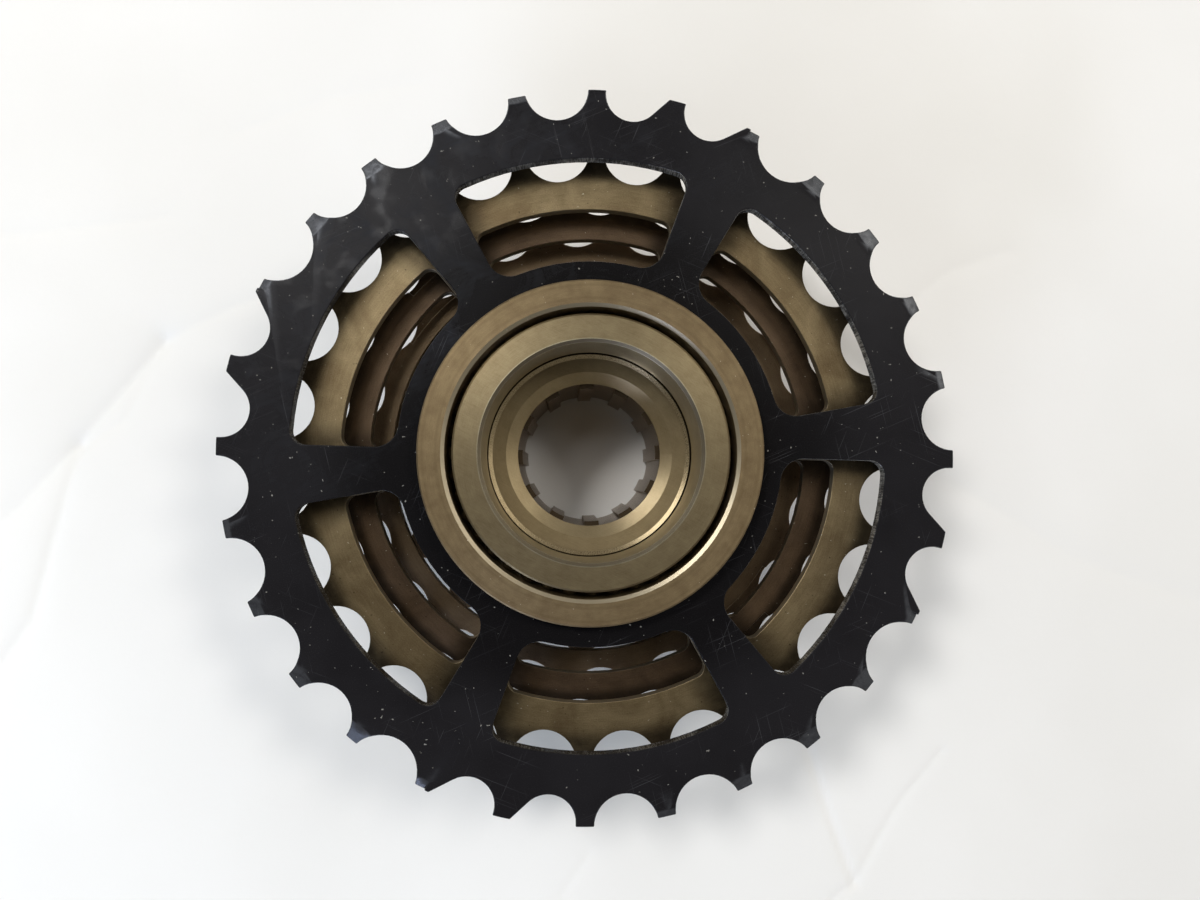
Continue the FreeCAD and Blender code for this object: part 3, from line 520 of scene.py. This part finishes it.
softened("sprocket_28t", "cog_28_black", "carrier", M_BLACK, 0.16)
softened("sprocket_24t", "cog_24", "carrier", M_COG, 0.13)
softened("sprocket_22t", "cog_22", "carrier", M_COG_22_PAINTED_SHADE, 0.13)
softened("sprocket_20t", "cog_20", "carrier", M_COG_PAINTED_SHADE, 0.13)
softened("sprocket_18t", "cog_18", "carrier", M_COG_PAINTED_SHADE, 0.13)
softened("sprocket_16t", "cog_16", "carrier", M_COG_PAINTED_SHADE, 0.13)
softened("sprocket_14t", "cog_14", "carrier", M_COG_PAINTED_SHADE, 0.13)
paint("outer_shell", M_FLANGE)
paint("inner_body", M_CORE)
for n in ("spacer_28_24", "spacer_24_22", "spacer_22_20", "spacer_20_18"):
    paint(n, M_RING)
paint("cone_lockring", M_CORE)
paint("adjusting_shims", M_STEEL)
paint("balls_inboard", M_BALL)
paint("balls_outboard", M_BALL)
paint("pawl_a", M_STEEL)
paint("pawl_b", M_STEEL)
paint("pawl_spring_a", M_LEAF)
paint("pawl_spring_b", M_LEAF)


# ------------------------------------------------------------------ paper on the floor
def crease(x, y, pts, depth, width):
    """The height that a fold line adds: a narrow valley along the points."""
    best = np.full(x.shape, 1e9)
    for (x0, y0), (x1, y1) in zip(pts[:-1], pts[1:]):
        dx, dy = x1 - x0, y1 - y0
        t = np.clip(((x - x0) * dx + (y - y0) * dy) / (dx * dx + dy * dy), 0, 1)
        best = np.minimum(best, np.hypot(x - x0 - t * dx, y - y0 - t * dy))
    return -depth * np.exp(-best / width)


def make_floor():
    fine_x = np.arange(-0.150, 0.1501, 0.0008)
    fine_y = np.arange(-0.120, 0.1201, 0.0008)
    far = np.array([0.18, 0.25, 0.4, 0.7, 1.2, 2.5])
    xs = np.concatenate([-far[::-1], fine_x, far])
    ys = np.concatenate([-far[::-1], fine_y, far])
    X, Y = np.meshgrid(xs, ys)
    H = np.zeros_like(X)
    # soft waves of the sheet
    for ax, ay, ph, amp in (
        (38.0, 11.0, 0.4, 0.00030),
        (-17.0, 44.0, 2.1, 0.00024),
        (61.0, -35.0, 4.4, 0.00010),
        (23.0, 71.0, 1.3, 0.00009),
    ):
        H += amp * (np.sin(ax * X + ay * Y + ph) - 1.0)
    folds = [
        ([(-0.0538, 0.0348), (-0.0691, 0.0298), (-0.0823, 0.0229)], 0.00020, 0.0016),
        ([(-0.0823, 0.0229), (-0.0979, 0.0035), (-0.1115, -0.0117), (-0.14, -0.04)], 0.00055, 0.0026),
        ([(-0.0823, 0.0229), (-0.0895, 0.0074), (-0.0979, 0.0025)], 0.00022, 0.0015),
        ([(-0.0979, 0.0025), (-0.1022, -0.0156), (-0.1056, -0.0307), (-0.115, -0.045)], 0.00040, 0.0014),
        ([(0.0440, -0.0574), (0.0469, -0.0671), (0.0517, -0.0807), (0.0530, -0.0836), (0.0486, -0.0864), (0.044, -0.11)], 0.00026, 0.00055),
        ([(0.0710, -0.0582), (0.0628, -0.0674), (0.0577, -0.0750), (0.0530, -0.0836)], 0.00022, 0.0005),
        ([(-0.0695, 0.0642), (-0.0503, 0.0715), (-0.0327, 0.0748)], 0.00012, 0.0018),
        ([(0.0632, 0.0297), (0.0735, 0.0379), (0.0860, 0.0421)], 0.00014, 0.0016),
        ([(0.0729, -0.0044), (0.0992, -0.0205), (0.1238, -0.0287)], 0.00012, 0.0025),
        ([(0.0008, -0.0768), (-0.0050, -0.0852)], 0.00012, 0.0007),
        ([(-0.1227, 0.0420), (-0.0978, 0.0451), (-0.0827, 0.0473)], 0.00014, 0.0020),
    ]
    for pts, depth, width in folds:
        H += crease(X, Y, pts, 1.9 * depth, width)
    # one side of the big fold stands a little higher than the other
    side = (X + 0.1115) * (0.0346) - (Y + 0.0117) * (0.0292)
    H += -0.00035 * (1.0 / (1.0 + np.exp(side / 0.00006))) * np.exp(-((np.hypot(X + 0.1, Y) / 0.05) ** 2))
    near = np.clip((np.hypot(X, Y) - 0.034) / 0.02, 0, 1)
    H *= near * near * (3 - 2 * near)
    H = np.where((np.abs(X) > 0.15) | (np.abs(Y) > 0.12), 0.0, H)
    H -= 0.00002
    nx, ny = len(xs), len(ys)
    co = np.stack([X, Y, H], -1).reshape(-1, 3)
    idx = np.arange(nx * ny).reshape(ny, nx)
    quads = np.stack([idx[:-1, :-1], idx[:-1, 1:], idx[1:, 1:], idx[1:, :-1]], -1).reshape(-1, 4)
    me = bpy.data.meshes.new("paper_sheet")
    me.vertices.add(len(co))
    me.vertices.foreach_set("co", co.ravel())
    me.loops.add(quads.size)
    me.loops.foreach_set("vertex_index", quads.ravel())
    me.polygons.add(len(quads))
    me.polygons.foreach_set("loop_start", np.arange(0, quads.size, 4))
    me.polygons.foreach_set("use_smooth", np.ones(len(quads), bool))
    me.update(calc_edges=True)
    me.validate()
    ob = bpy.data.objects.new("paper_sheet", me)
    me.materials.append(paper())
    bpy.context.scene.collection.objects.link(ob)
    return ob


make_floor()


# ------------------------------------------------------------------ light
def area(name, azimuth, elevation, distance, size, power, color, aim=(0, 0, 0.02), size_y=None, glossy=True, diffuse=True):
    a, e = math.radians(azimuth), math.radians(elevation)
    d = Vector((math.cos(e) * math.cos(a), math.cos(e) * math.sin(a), math.sin(e)))
    lamp = bpy.data.lights.new(name, "AREA")
    lamp.shape = "RECTANGLE"
    lamp.size = size
    lamp.size_y = size_y or size
    lamp.energy = power
    lamp.color = color
    ob = bpy.data.objects.new(name, lamp)
    ob.location = Vector(aim) + d * distance
    ob.rotation_euler = (-d).to_track_quat("-Z", "Y").to_euler()
    ob.visible_glossy = glossy
    ob.visible_diffuse = diffuse
    bpy.context.scene.collection.objects.link(ob)
    return ob


area("key_upper_left", 138, 43, 0.95, 0.5, 3.7, (0.97, 0.98, 1.0), diffuse=False)
area("high_left", 130, 64, 0.9, 0.26, 1.0, (1.0, 0.99, 0.97))
area("high_right", 42, 62, 0.9, 0.26, 0.62, (1.0, 0.97, 0.92))
area("wash_left", 139, 57, 0.9, 0.16, 4.0, (1.0, 0.985, 0.96), glossy=False)
area("wash_right", 28, 55, 0.9, 0.16, 2.1, (1.0, 0.96, 0.9), glossy=False)
area("fill_right", 24, 33, 1.1, 0.8, 1.5, (1.0, 0.96, 0.88), size_y=0.4)
area("fill_right_glints", 24, 33, 1.1, 0.8, 3.5, (1.0, 0.96, 0.88), size_y=0.4, diffuse=False)
area("blue_lower_left", 238, 21, 1.1, 0.32, 3.6, (0.55, 0.7, 1.0), size_y=0.14)
area("blue_lower_left_glints", 240, 23, 1.1, 0.26, 2.6, (0.64, 0.7, 1.0), size_y=0.16, diffuse=False)
area("cool_left", 214, 46, 0.42, 0.3, 0.72, (0.8, 0.9, 1.0), aim=(-0.05, -0.04, 0.0), glossy=False)

world = bpy.data.worlds.new("soft_room")
world.use_nodes = True
wt = world.node_tree
wt.nodes.clear()
w_out = wt.nodes.new("ShaderNodeOutputWorld")
w_bg = wt.nodes.new("ShaderNodeBackground")
w_tc = wt.nodes.new("ShaderNodeTexCoord")
w_sep = wt.nodes.new("ShaderNodeSeparateXYZ")
w_ramp = wt.nodes.new("ShaderNodeValToRGB")
wt.links.new(w_tc.outputs["Generated"], w_sep.inputs[0])
wt.links.new(w_sep.outputs[2], w_ramp.inputs[0])
ramp = w_ramp.color_ramp
ramp.elements[0].position = 0.0
ramp.elements[0].color = (0.55, 0.55, 0.54, 1)
ramp.elements[1].position = 1.0
ramp.elements[1].color = (0.10, 0.10, 0.10, 1)
for pos, v in ((0.25, 0.9), (0.6, 0.9), (0.85, 0.4), (0.95, 0.14)):
    e = ramp.elements.new(pos)
    e.color = (v, v * 0.965, v * 0.90, 1)
# the room is brighter beyond the top of the part than on the near side
w_x = wt.nodes.new("ShaderNodeMath")
w_x.operation = "MULTIPLY_ADD"
wt.links.new(w_sep.outputs[0], w_x.inputs[0])
w_x.inputs[1].default_value = 0.08
w_x.inputs[2].default_value = 0.41
w_y = wt.nodes.new("ShaderNodeMath")
w_y.operation = "MULTIPLY_ADD"
wt.links.new(w_sep.outputs[1], w_y.inputs[0])
w_y.inputs[1].default_value = 0.1
wt.links.new(w_x.outputs[0], w_y.inputs[2])
wt.links.new(w_ramp.outputs[0], w_bg.inputs[0])
wt.links.new(w_y.outputs[0], w_bg.inputs[1])
wt.links.new(w_bg.outputs[0], w_out.inputs[0])
bpy.context.scene.world = world

view = bpy.context.scene.view_settings
view.view_transform = "Standard"
view.look = "None"
view.exposure = 0.0
view.gamma = 1.0

# ------------------------------------------------------------------ camera
cam = bpy.data.cameras.new("camera")
cam.sensor_fit = "HORIZONTAL"
cam.sensor_width = 36.0
cam.lens = 24.93
cam.clip_start = 0.01
cam.clip_end = 20.0
cam_ob = bpy.data.objects.new("camera", cam)
right = Vector((0.999115, -0.001428, 0.04204)).normalized()
back = Vector((-0.042063, -0.03392, 0.99854)).normalized()
up_v = back.cross(right).normalized()
right = up_v.cross(back).normalized()
m = Matrix((right, up_v, back)).transposed().to_4x4()
m.translation = Vector((-0.00407, -0.00396, 0.1632))
cam_ob.matrix_world = m
bpy.context.scene.collection.objects.link(cam_ob)
bpy.context.scene.camera = cam_ob
